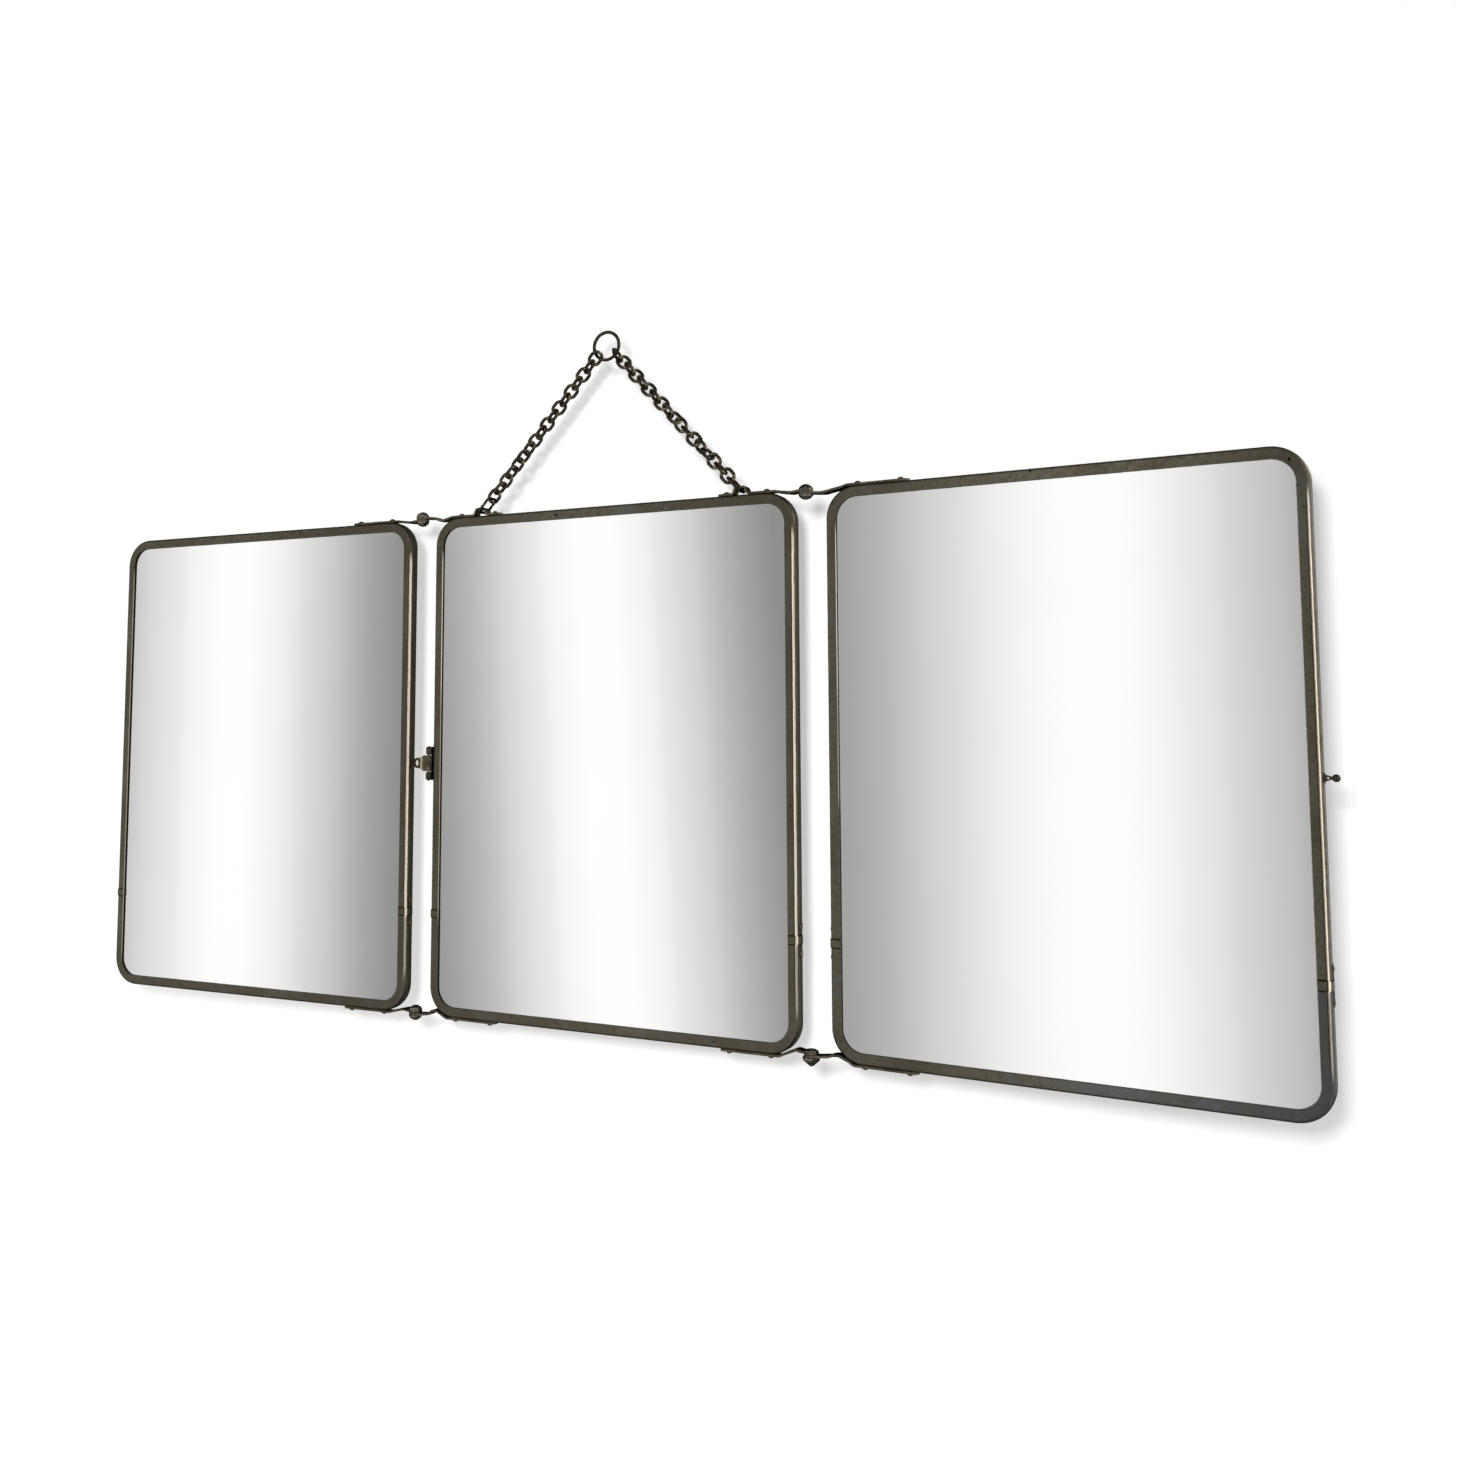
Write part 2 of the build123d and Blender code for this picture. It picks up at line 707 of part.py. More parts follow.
def arm_places(side, lay):
    """Where one arm's links lie, from the ring down, and where its end link lies."""
    along = Vector(side * (arch_x - grip_x), 0, arch_wire_z - grip_z).normalized()
    across = Vector(0, -side, 0).cross(along)
    grip = Vector(side * grip_x, 0, grip_z)
    places = []
    for index in range(link_count):
        share = min(max((index - lay_start) / lay_span, 0), 1)
        eased = share**2 * (3 - 2 * share)
        roll = radians(90 * index + lay[0] + (lay[1] - lay[0]) * eased)
        centre = grip + along * (first_step + index * link_pitch)
        normal = across * cos(roll) + back * sin(roll)
        places.append(Plane(origin=centre, x_dir=along, z_dir=normal).location)
    end = Plane(origin=grip + along * end_link_place, x_dir=along, z_dir=across).location
    return places, end


link = wire_link(link_length, link_width, link_wire, link_corner)
end_link = wire_link(end_link_length, end_link_width, end_link_wire, end_link_corner)
for name, side, lay in (("left", -1, left_lay), ("right", 1, right_lay)):
    link_places, end_place = arm_places(side, lay)
    with BuildPart() as chain:
        with Locations(*link_places):
            add(link)
    save(chain.part, f"{name}_chain_links")
    with BuildPart() as shackle:
        with Locations(end_place):
            add(end_link)
    save(shackle.part, f"{name}_end_link")
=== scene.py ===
from math import cos, pi, radians, sin

import bpy
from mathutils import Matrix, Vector


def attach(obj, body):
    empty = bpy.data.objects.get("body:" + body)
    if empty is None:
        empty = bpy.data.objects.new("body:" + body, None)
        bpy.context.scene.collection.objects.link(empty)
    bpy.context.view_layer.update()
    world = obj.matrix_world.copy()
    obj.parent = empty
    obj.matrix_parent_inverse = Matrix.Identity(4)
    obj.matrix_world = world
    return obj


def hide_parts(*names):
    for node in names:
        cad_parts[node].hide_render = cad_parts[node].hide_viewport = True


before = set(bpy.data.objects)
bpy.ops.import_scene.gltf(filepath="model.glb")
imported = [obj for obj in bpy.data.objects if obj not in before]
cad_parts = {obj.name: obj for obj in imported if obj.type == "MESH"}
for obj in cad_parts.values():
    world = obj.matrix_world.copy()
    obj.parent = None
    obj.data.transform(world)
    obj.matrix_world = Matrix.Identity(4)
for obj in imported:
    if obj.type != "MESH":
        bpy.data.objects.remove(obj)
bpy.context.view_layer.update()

millimetre = 0.001
scene = bpy.context.scene
scene.view_settings.view_transform = "Standard"
print("frame loaded:", len(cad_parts), "nodes")


# Small helpers

def linear(hexColour):
    channels = [int(hexColour[i : i + 2], 16) / 255 for i in (1, 3, 5)]
    curved = [c / 12.92 if c <= 0.04045 else ((c + 0.055) / 1.055) ** 2.4 for c in channels]
    return (*curved, 1.0)


def feed(tree, socket, value):
    if isinstance(value, bpy.types.NodeSocket):
        tree.links.new(value, socket)
    else:
        socket.default_value = value


def addNode(tree, kind, inputs=None, **settings):
    node = tree.nodes.new(kind)
    for setting, value in settings.items():
        setattr(node, setting, value)
    for socket, value in (inputs or {}).items():
        feed(tree, node.inputs[socket], value)
    return node


def calc(tree, operation, first, second=0.0, third=0.0):
    inputs = {0: first, 1: second, 2: third}
    return addNode(tree, "ShaderNodeMath", inputs, operation=operation).outputs[0]


def remap(tree, value, low, high, outLow=0.0, outHigh=1.0):
    inputs = {"Value": value, "From Min": low, "From Max": high, "To Min": outLow, "To Max": outHigh}
    return addNode(tree, "ShaderNodeMapRange", inputs, interpolation_type="SMOOTHSTEP").outputs[0]


def between(tree, value, low, high, soft):
    rising = remap(tree, value, low - soft / 2, low + soft / 2)
    falling = remap(tree, value, high - soft / 2, high + soft / 2, 1.0, 0.0)
    return calc(tree, "MULTIPLY", rising, falling)


def product(tree, *factors):
    result = factors[0]
    for factor in factors[1:]:
        result = calc(tree, "MULTIPLY", result, factor)
    return result


def strongest(tree, *values):
    result = values[0]
    for value in values[1:]:
        result = calc(tree, "MAXIMUM", result, value)
    return result


def mixed(tree, share, first, second):
    inputs = {0: share, 6: first, 7: second}
    return addNode(tree, "ShaderNodeMix", inputs, data_type="RGBA").outputs[2]


def noise(tree, place, size, detail=3.0, roughness=0.5):
    inputs = {"Vector": place, "Scale": 1 / size, "Detail": detail, "Roughness": roughness}
    return addNode(tree, "ShaderNodeTexNoise", inputs).outputs[0]


def shades(tree, value, stops, smooth="LINEAR"):
    ramp = addNode(tree, "ShaderNodeValToRGB", {"Fac": value})
    ramp.color_ramp.interpolation = smooth
    elements = ramp.color_ramp.elements
    while len(elements) < len(stops):
        elements.new(1.0)
    for element, (place, hexColour) in zip(elements, stops):
        element.position = place
        element.color = linear(hexColour)
    return ramp.outputs["Color"]


def relief(tree, height, depth, normal=None):
    inputs = {"Height": height, "Strength": 1.0, "Distance": depth * millimetre}
    if normal:
        inputs["Normal"] = normal
    return addNode(tree, "ShaderNodeBump", inputs).outputs[0]


def placeInMillimetres(tree, origin=(0, 0, 0), turn=0.0):
    spot = addNode(tree, "ShaderNodeTexCoord").outputs["Object"]
    centre = Vector(origin) * millimetre
    inputs = {"Vector": spot, "Location": centre, "Rotation": (0, 0, radians(turn))}
    own = addNode(tree, "ShaderNodeMapping", inputs, vector_type="TEXTURE").outputs[0]
    inputs = {0: own, "Scale": 1 / millimetre}
    return addNode(tree, "ShaderNodeVectorMath", inputs, operation="SCALE").outputs[0]


def emptyTree(owner):
    owner.use_nodes = True
    owner.node_tree.nodes.clear()
    return owner.node_tree


def startMaterial(name, metallic=1.0):
    material = bpy.data.materials.new(name)
    tree = emptyTree(material)
    shader = addNode(tree, "ShaderNodeBsdfPrincipled", {"Metallic": metallic})
    addNode(tree, "ShaderNodeOutputMaterial", {"Surface": shader.outputs["BSDF"]})
    return material, tree, shader


def wire(tree, shader, **sockets):
    for name, value in sockets.items():
        feed(tree, shader.inputs[name.replace("_", " ")], value)


# Camera: from the right and a little above the middle, its lens axis off the centre of the frame

cameraView = {
    "side": 1457,  # pixels, the square frame's
    "place": (404.1, -723.6, -224.5),  # mm
    "turn": 27.275,  # degrees to the left
    "rise": 5.247,
    "focal": 1418.5,  # pixels
    "centre": (652.8, 594.1),  # pixels, where the lens axis meets the frame
}


def makeCamera():
    side = cameraView["side"]
    across, down = cameraView["centre"]
    lens = bpy.data.cameras.new("pictureCamera")
    lens.sensor_width = 36.0
    lens.lens = lens.sensor_width * cameraView["focal"] / side
    lens.shift_x = 0.5 - across / side
    lens.shift_y = down / side - 0.5
    lens.clip_start = 0.01
    camera = bpy.data.objects.new("pictureCamera", lens)
    camera.location = Vector(cameraView["place"]) * millimetre
    camera.rotation_euler = (pi / 2 + radians(cameraView["rise"]), 0, radians(cameraView["turn"]))
    scene.collection.objects.link(camera)
    scene.camera = camera


makeCamera()
print("camera placed")


# Studio: a white wall, one graded card before each mirror, grey flags for the metal, a softbox

studio = {
    "wallGap": 25.0,  # mm from the chain's plane to the wall
    "wallSize": 8000.0,
    "wallGlow": 0.405,
    "keyShare": 0.55,  # of the wall's brightness straight before the softbox
    "ambient": 0.12,
    "cardPlane": -242.0,  # mm, where the graded cards stand
    "cardHeight": 2400.0,
    "cardLevel": -253.0,  # mm, the height at which the leaning card is plumb with its stops
    "keyPlace": (290.0, -1050.0, 20.0),
    "keyAim": (100.0, 0.0, -250.0),
    "keySize": 210.0,
    "keyPower": 6.5,  # watts
    "flagGrey": "#7c7c7c",
    "wallPaint": "#f7f7f7",
}
gradedCards = {  # each one's edges in mm, its lean, and its greys from left to right
    "leftCard": {
        "edges": (-800, -292),
        "lean": 0.0,
        "stops": [(-800, "#888888"), (-590, "#cccccc"), (-537, "#ececec"), (-508, "#fafafa"),
                  (-479, "#ffffff"), (-451, "#fafafa"), (-410, "#e4e4e4"), (-356, "#b9b9b9"),
                  (-292, "#888888")],
    },
    "middleCard": {
        "edges": (-292, 19),
        "lean": 0.063,
        "stops": [(-292, "#9b9b9b"), (-230, "#cbcbcb"), (-183, "#eeeeee"), (-153, "#fdfdfd"),
                  (-130, "#ffffff"), (-108, "#fbfbfb"), (-80, "#eaeaea"), (-38, "#c6c6c6"),
                  (19, "#8f8f8f")],
    },
    "rightCard": {
        "edges": (19, 860),
        "lean": 0.0,
        "stops": [(19, "#a2a2a2"), (74, "#c5c5c5"), (124, "#e4e4e4"), (157, "#f5f5f5"),
                  (203, "#ffffff"), (246, "#f5f5f5"), (287, "#dbdbdb"), (326, "#bababa"),
                  (365, "#8c8c8c"), (440, "#6c6c6c"), (475, "#ffffff"), (860, "#ffffff")],
    },
}
flags = {  # centre and size in mm, and the way they face
    "backFlag": {"centre": (-800, 600, -250), "size": (2700, 2400), "facing": "back"},
    "lowFlag": {"centre": (0, 0, -750), "size": (2500, 2500), "facing": "up"},
    "highFlag": {"centre": (0, 0, 300), "size": (2500, 2500), "facing": "down"},
}
strips = {  # a tall warm light far to the right, for glints on the round pieces
    "sideStrip": {
        "centre": (820, 200, 260),
        "size": (160, 340),
        "facing": "side",
        "glow": 12.0,
        "colour": "#fff6e4",
    },
}


def stagePlane(name, centre, size, facing, material):
    acrossX, acrossY = size[0] / 2, size[1] / 2
    corners = [(-acrossX, -acrossY), (acrossX, -acrossY), (acrossX, acrossY), (-acrossX, acrossY)]
    spread = {
        "front": lambda a, b: (a, 0, b),
        "back": lambda a, b: (-a, 0, b),
        "up": lambda a, b: (a, b, 0),
        "down": lambda a, b: (-a, b, 0),
        "side": lambda a, b: (0, -a, b),
    }[facing]
    mesh = bpy.data.meshes.new(name)
    places = [(Vector(spread(a, b)) + Vector(centre)) * millimetre for a, b in corners]
    mesh.from_pydata(places, [], [(0, 1, 2, 3)])
    mesh.materials.append(material)
    plane = bpy.data.objects.new(name, mesh)
    scene.collection.objects.link(plane)
    return plane


def wallMaterial():
    # Matt white wall paint. Its glow makes up for the softbox's fall-off, so that the whole wall
    # comes out equally white. From behind it is clear
    material = bpy.data.materials.new("whitePaintedWall")
    tree = emptyTree(material)
    paint = addNode(tree, "ShaderNodeBsdfDiffuse", {"Color": linear(studio["wallPaint"])})
    keyX, keyY, keyZ = studio["keyPlace"]
    inputs = {0: placeInMillimetres(tree), 1: (keyX, 0, keyZ)}
    away = addNode(tree, "ShaderNodeVectorMath", inputs, operation="DISTANCE").outputs["Value"]
    reach = (studio["wallGap"] - keyY) ** 2
    fall = calc(tree, "DIVIDE", reach, calc(tree, "MULTIPLY_ADD", away, away, reach))
    lost = calc(tree, "SUBTRACT", 1.0, calc(tree, "MULTIPLY", fall, fall))
    strength = calc(tree, "MULTIPLY_ADD", lost, studio["keyShare"], studio["wallGlow"])
    inputs = {"Color": linear("#ffffff"), "Strength": strength}
    glow = addNode(tree, "ShaderNodeEmission", inputs)
    lit = addNode(tree, "ShaderNodeAddShader", {0: paint.outputs[0], 1: glow.outputs[0]})
    clear = addNode(tree, "ShaderNodeBsdfTransparent")
    side = addNode(tree, "ShaderNodeNewGeometry")
    inputs = {0: side.outputs["Backfacing"], 1: lit.outputs[0], 2: clear.outputs[0]}
    both = addNode(tree, "ShaderNodeMixShader", inputs)
    addNode(tree, "ShaderNodeOutputMaterial", {"Surface": both.outputs[0]})
    return material


def glowMaterial(name, hexColour, strength=1.0):
    material = bpy.data.materials.new(name)
    tree = emptyTree(material)
    glow = addNode(tree, "ShaderNodeEmission", {"Color": linear(hexColour), "Strength": strength})
    addNode(tree, "ShaderNodeOutputMaterial", {"Surface": glow.outputs[0]})
    return material, tree, glow


def onlyFor(thing, *rays):
    for ray in ("camera", "diffuse", "glossy", "transmission", "volume_scatter", "shadow"):
        setattr(thing, "visible_" + ray, ray in rays)


def makeCard(name, card):
    material, tree, glow = glowMaterial(name, "#ffffff")
    spot = addNode(tree, "ShaderNodeSeparateXYZ", {0: placeInMillimetres(tree)})
    raised = calc(tree, "SUBTRACT", spot.outputs["Z"], studio["cardLevel"])
    across = calc(tree, "MULTIPLY_ADD", raised, card["lean"], spot.outputs["X"])
    start, end = card["edges"]
    share = calc(tree, "DIVIDE", calc(tree, "SUBTRACT", across, start), end - start)
    stops = [((place - start) / (end - start), grey) for place, grey in card["stops"]]
    tree.links.new(shades(tree, share, stops, "CARDINAL"), glow.inputs["Color"])
    centre = ((start + end) / 2, studio["cardPlane"], studio["cardLevel"])
    size = (end - start, studio["cardHeight"])
    onlyFor(stagePlane(name, centre, size, "front", material), "glossy")


def makeWorld():
    world = bpy.data.worlds.new("softWhite")
    scene.world = world
    tree = emptyTree(world)
    rays = addNode(tree, "ShaderNodeLightPath")
    kinds = ("Is Camera Ray", "Is Glossy Ray", "Is Transmission Ray")
    seen = strongest(tree, *[rays.outputs[kind] for kind in kinds])
    inputs = {"Value": seen, "To Min": studio["ambient"], "To Max": 1.0}
    strength = addNode(tree, "ShaderNodeMapRange", inputs).outputs[0]
    inputs = {"Color": linear("#ffffff"), "Strength": strength}
    light = addNode(tree, "ShaderNodeBackground", inputs)
    addNode(tree, "ShaderNodeOutputWorld", {"Surface": light.outputs[0]})


def makeKey():
    lamp = bpy.data.lights.new("keySoftbox", "AREA")
    lamp.size = studio["keySize"] * millimetre
    lamp.energy = studio["keyPower"]
    key = bpy.data.objects.new("keySoftbox", lamp)
    key.location = Vector(studio["keyPlace"]) * millimetre
    aim = Vector(studio["keyAim"]) * millimetre - key.location
    key.rotation_euler = aim.to_track_quat("-Z", "Y").to_euler()
    scene.collection.objects.link(key)
    key.visible_glossy = False


def makeStudio():
    size = (studio["wallSize"], studio["wallSize"])
    wall = stagePlane("wall", (0, studio["wallGap"], 0), size, "front", wallMaterial())
    onlyFor(wall, "camera", "transmission")
    for name, card in gradedCards.items():
        makeCard(name, card)
    grey, _, _ = glowMaterial("greyFlag", studio["flagGrey"])
    for name, flag in flags.items():
        onlyFor(stagePlane(name, flag["centre"], flag["size"], flag["facing"], grey), "glossy")
    for name, strip in strips.items():
        warm, _, _ = glowMaterial(name, strip["colour"], strip["glow"])
        onlyFor(stagePlane(name, strip["centre"], strip["size"], strip["facing"], warm), "glossy")
    makeWorld()
    makeKey()


makeStudio()
print("studio ready")


# The three framed panels, each with its own upright frame of reference

panel = {  # mm
    "width": 240.0,
    "height": 304.0,
    "corner": 17.5,
    "flange": 6.0,
    "joint": -91.0,  # where the two U pieces of the channel meet
    "band": 2.3,  # half height of the clip's band over that joint
    "clip": 0.45,  # thickness of the clip
    "gap": 18.0,  # between neighbouring panels
    "front": -3.75,  # the centre panel's front plane
    "level": -248.42,  # its middle's height
}
pivots = {  # plan place in mm and how far the wing stands forward at rest, in degrees
    "left": {"pivot": (-129.0, -4.75), "turn": 1.8, "side": -1},
    "centre": {"pivot": (0.0, -3.75), "turn": 0.0, "side": 0},
    "right": {"pivot": (129.0, -8.9), "turn": -3.9, "side": 1},
}


def panelOrigin(name):
    turn, side = radians(pivots[name]["turn"]), pivots[name]["side"]
    x, y = pivots[name]["pivot"]
    reachX = side * (panel["width"] + panel["gap"]) - x
    reachY = panel["front"] - y
    return (
        x + reachX * cos(turn) - reachY * sin(turn),
        y + reachX * sin(turn) + reachY * cos(turn),
        panel["level"],
    )


def distance(tree, x, z):
    square = calc(tree, "ADD", calc(tree, "MULTIPLY", x, x), calc(tree, "MULTIPLY", z, z))
    return calc(tree, "SQRT", square)


def insetFromEdge(tree, x, z):
    # Distance in from the rounded outline of the panel
    over = []
    for value, size in ((x, panel["width"]), (z, panel["height"])):
        past = calc(tree, "SUBTRACT", calc(tree, "ABSOLUTE", value), size / 2 - panel["corner"])
        over.append(calc(tree, "MAXIMUM", past, 0.0))
    return calc(tree, "SUBTRACT", panel["corner"], distance(tree, *over))


# Materials

def spotMask(tree, x, z, spots):
    # Round marks: each one's x, z and radius in mm
    masks = []
    for spotX, spotZ, radius in spots:
        away = distance(tree, calc(tree, "SUBTRACT", x, spotX), calc(tree, "SUBTRACT", z, spotZ))
        masks.append(remap(tree, away, radius * 0.5, radius * 1.3, 1.0, 0.0))
    return strongest(tree, *masks)


plateMarks = {  # mm from the panel's middle
    "left": {
        "pits": [(31.2, 149.4, 0.7), (-60.0, -149.0, 0.5), (-116.0, 40.0, 0.5)],
        "clouds": [(-116.0, -100.0, 12.0)],
        "tint": "#625d50",
        "lower": ("#625d50", 0.3, 0.3),  # the lower piece's colour, and its share left and right
        "rubbedFoldHighlight": (0.23, 1.35),  # in from the right side, where the fold is rubbed and its highlight painted
        "lipEnd": -140.0,  # the lip's rubbing and painted highlight start at this height
        "lipBright": (200.0, 0.45),  # below this height the lip's rubbing and painted highlight are weaker, by this share
    },
    "centre": {
        "pits": [(-32.1, 148.5, 0.8), (70.0, -148.6, 0.5), (116.4, -20.0, 0.5)],
        "clouds": [(15.0, 149.0, 9.0), (-80.0, -149.0, 10.0)],
        "tint": "#676254",
        "lower": ("#665f52", 0.3, 0.3),
        "rubbedFoldHighlight": (0.54, 1.62),
        "lipEnd": -100.0,
        "lipBright": (42.0, 0.45),
    },
    "right": {
        "pits": [(-7.9, 150.6, 0.6), (111.4, 144.9, 0.8), (114.7, 132.6, 0.4), (115.8, 128.4, 0.35),
                 (116.8, 122.3, 0.35)],
        "clouds": [(117.0, 122.0, 16.0), (18.0, -149.0, 17.0), (70.0, -149.0, 9.0)],
        "tint": "#6f6a5b",
        "lower": ("#5a5d60", 0.1, 0.6),
        "rubbedFoldHighlight": (0.94, 1.9),
        "lipEnd": -25.0,
        "lipBright": (42.0, 0.5),
    },
}
plateFinish = {  # mm
    "cloudSize": 31,
    "mottleSize": 2.4,
    "grainSize": 0.45,
    "bloomSize": 11,
    "breakSize": 6,  # of the breaks in the rubbed, painted-highlight edges
    "wanderSize": 9,
    "wander": 0.3,  # how far the rubbed fold strays from its line
    "upperCorner": (124, 134),  # heights over which a side rail runs into its corner
    "lowerCorner": (-134, -124),
    # heights of the top fold, where a dark line of painted shade runs
    "topFold": (150.2, 151.2),
    "lowerReach": 60,  # either side of the middle, where the lower colour's share changes
    "redEdge": 0.5,  # width of the red-brown line beside the rubbed fold and its painted highlight
    "lipHalf": 0.3,
    "lipFade": 12,
    "foldShareBelow": 0.45,  # of the upper piece's rubbing and painted highlight
    "backEdge": (2.2, 4.0),  # depths over which the sides darken to the back
}
plateColours = {
    "clouds": ("#625b4d", "#6e6b60"),  # either side of the panel's own tint
    "mottle": "#4a4437",
    "cloud": "#6d6e69",
    "bloom": "#6d7077",
    "back": "#3a3426",
    # dirt in the pits, and painted shade at the seams, the top fold and the inner edge
    "dirtAndShade": "#17130d",
    "redEdge": "#33211a",
    # pale rubbed brass, also the painted highlight on the folds and lips
    "rubbedAndHighlight": "#fff2dc",
}


def painted(tree, share, base, name):
    return mixed(tree, share, base, linear(plateColours[name]))


def plateTint(tree, marks, place, x, z, mottle):
    olive, grey = plateColours["clouds"]
    clouds = noise(tree, place, plateFinish["cloudSize"], 3)
    plate = shades(tree, clouds, [(0.32, olive), (0.5, marks["tint"]), (0.66, grey)])
    plate = painted(tree, remap(tree, mottle, 0.35, 0.75, 0.0, 0.55), plate, "mottle")
    uneven = remap(tree, mottle, 0.3, 0.6, 0.3, 1.0)
    cloud = product(tree, spotMask(tree, x, z, marks["clouds"]), uneven, 0.7)
    plate = painted(tree, cloud, plate, "cloud")
    hexLower, shareLeft, shareRight = marks["lower"]
    below = remap(tree, z, panel["joint"] - 0.2, panel["joint"] + 0.2, 1.0, 0.0)
    reach = plateFinish["lowerReach"]
    below = product(tree, below, remap(tree, x, -reach, reach, shareLeft, shareRight))
    plate = mixed(tree, below, plate, linear(hexLower))
    blooms = remap(tree, noise(tree, place, plateFinish["bloomSize"], 2), 0.6, 0.68)
    return painted(tree, product(tree, blooms, remap(tree, mottle, 0.4, 0.6), 0.55), plate, "bloom")


def rubbedEdgesAndHighlights(tree, marks, place, x, depth, z, fromJoint):
    # Rubbing with a painted highlight on the right side's front fold and on the left rail's lip, and
    # the red-brown line beside the fold
    aboveCorner = remap(tree, z, *plateFinish["lowerCorner"])
    belowCorner = remap(tree, z, *plateFinish["upperCorner"], 1.0, 0.0)
    worn = remap(tree, noise(tree, place, plateFinish["breakSize"], 3), 0.3, 0.5, 0.8, 1.0)
    band = panel["band"]
    overBand = remap(tree, fromJoint, band - 0.1, band + 0.1, panel["clip"], 0.0)
    inward = calc(tree, "SUBTRACT", calc(tree, "ADD", overBand, panel["width"] / 2), x)
    foldEnd, foldStart = marks["rubbedFoldHighlight"]
    wander = noise(tree, place, plateFinish["wanderSize"], 2)
    middle = calc(tree, "SUBTRACT", inward, plateFinish["wander"] / 2)
    inward = calc(tree, "MULTIPLY_ADD", wander, plateFinish["wander"], middle)
    # painted highlight along the rubbed front fold
    foldHighlight = product(
        tree,
        between(tree, inward, foldEnd, foldStart, 0.2),
        remap(tree, z, panel["joint"] - 6, panel["joint"], plateFinish["foldShareBelow"], 1.0),
        aboveCorner,
        belowCorner,
        worn,
    )
    redLine = between(tree, inward, foldStart, foldStart + plateFinish["redEdge"], 0.2)
    redEdge = product(tree, redLine, aboveCorner, belowCorner)
    lipX, lipHalf = panel["flange"] - panel["width"] / 2, plateFinish["lipHalf"]
    brightFrom, shareBelow = marks["lipBright"]
    # painted highlight on the lip's rounded edge
    lipHighlight = product(
        tree,
        between(tree, x, lipX - lipHalf, lipX + lipHalf, 0.1),
        remap(tree, depth, 0.3, 0.45, 1.0, 0.0),
        remap(tree, z, marks["lipEnd"], marks["lipEnd"] + plateFinish["lipFade"]),
        remap(tree, z, brightFrom - 10, brightFrom + 10, shareBelow, 1.0),
        belowCorner,
        worn,
    )
    return strongest(tree, foldHighlight, lipHighlight), redEdge


def plateDirtAndShade(tree, pits, x, depth, z, fromJoint):
    # Dirt in the pits; dirt and a painted shadow beside the clips; painted shade along the top fold
    # and on the flange's inner edge
    # dirt and painted shadow at the clip's edges
    seamDirtAndShadow = between(tree, fromJoint, panel["band"] - 0.35, panel["band"] + 0.45, 0.3)
    # painted shade along the top fold
    topFoldShade = product(tree, remap(tree, z, *plateFinish["topFold"]), remap(tree, depth, 0.1, 0.5), 0.4)
    edge = panel["flange"] - 0.2
    # painted shade on the flange's inner edge
    innerEdgeShade = remap(tree, insetFromEdge(tree, x, z), edge - 0.05, edge + 0.05)
    innerEdgeShade = product(tree, innerEdgeShade, between(tree, depth, 0.45, 6.0, 0.2), 0.95)
    return strongest(tree, product(tree, seamDirtAndShadow, 0.85), pits, topFoldShade, innerEdgeShade)


def tarnishedNickel(name):
    # Nickel-plated brass sheet, folded and long tarnished: a dull olive-brown satin with greyer
    # clouds, rubbed to pale brass on the folds with a painted highlight there, dirt in the pits, and
    # painted shade in the seams, along the top fold and at the inner edge
    marks = plateMarks[name]
    material, tree, shader = startMaterial(name + "TarnishedNickelPlate")
    place = placeInMillimetres(tree, panelOrigin(name), pivots[name]["turn"])
    x, depth, z = addNode(tree, "ShaderNodeSeparateXYZ", {0: place}).outputs
    mottle = noise(tree, place, plateFinish["mottleSize"], 5, 0.6)
    grain = noise(tree, place, plateFinish["grainSize"], 2)
    fromJoint = calc(tree, "ABSOLUTE", calc(tree, "SUBTRACT", z, panel["joint"]))
    pits = spotMask(tree, x, z, marks["pits"])
    rubbedAndHighlight, redEdge = rubbedEdgesAndHighlights(tree, marks, place, x, depth, z, fromJoint)

    colour = plateTint(tree, marks, place, x, z, mottle)
    backward = product(tree, remap(tree, depth, *plateFinish["backEdge"]), 0.5)
    colour = painted(tree, backward, colour, "back")
    # dirt in the pits, painted shade at the clip seams, the top fold and the inner edge
    colour = painted(tree, plateDirtAndShade(tree, pits, x, depth, z, fromJoint), colour, "dirtAndShade")
    colour = painted(tree, product(tree, redEdge, 0.7), colour, "redEdge")
    # rubbed brass on the folds and lip, painted bright as their highlight
    colour = painted(tree, rubbedAndHighlight, colour, "rubbedAndHighlight")
    rough = remap(tree, mottle, 0.3, 0.7, 0.36, 0.5)
    rough = calc(tree, "SUBTRACT", rough, product(tree, rubbedAndHighlight, 0.2))
    normal = relief(tree, grain, 0.012)
    normal = relief(tree, mottle, 0.05, normal)
    normal = relief(tree, calc(tree, "SUBTRACT", 1.0, pits), 0.3, normal)
    wire(tree, shader, Base_Color=colour, Roughness=rough, Normal=normal)
    return material


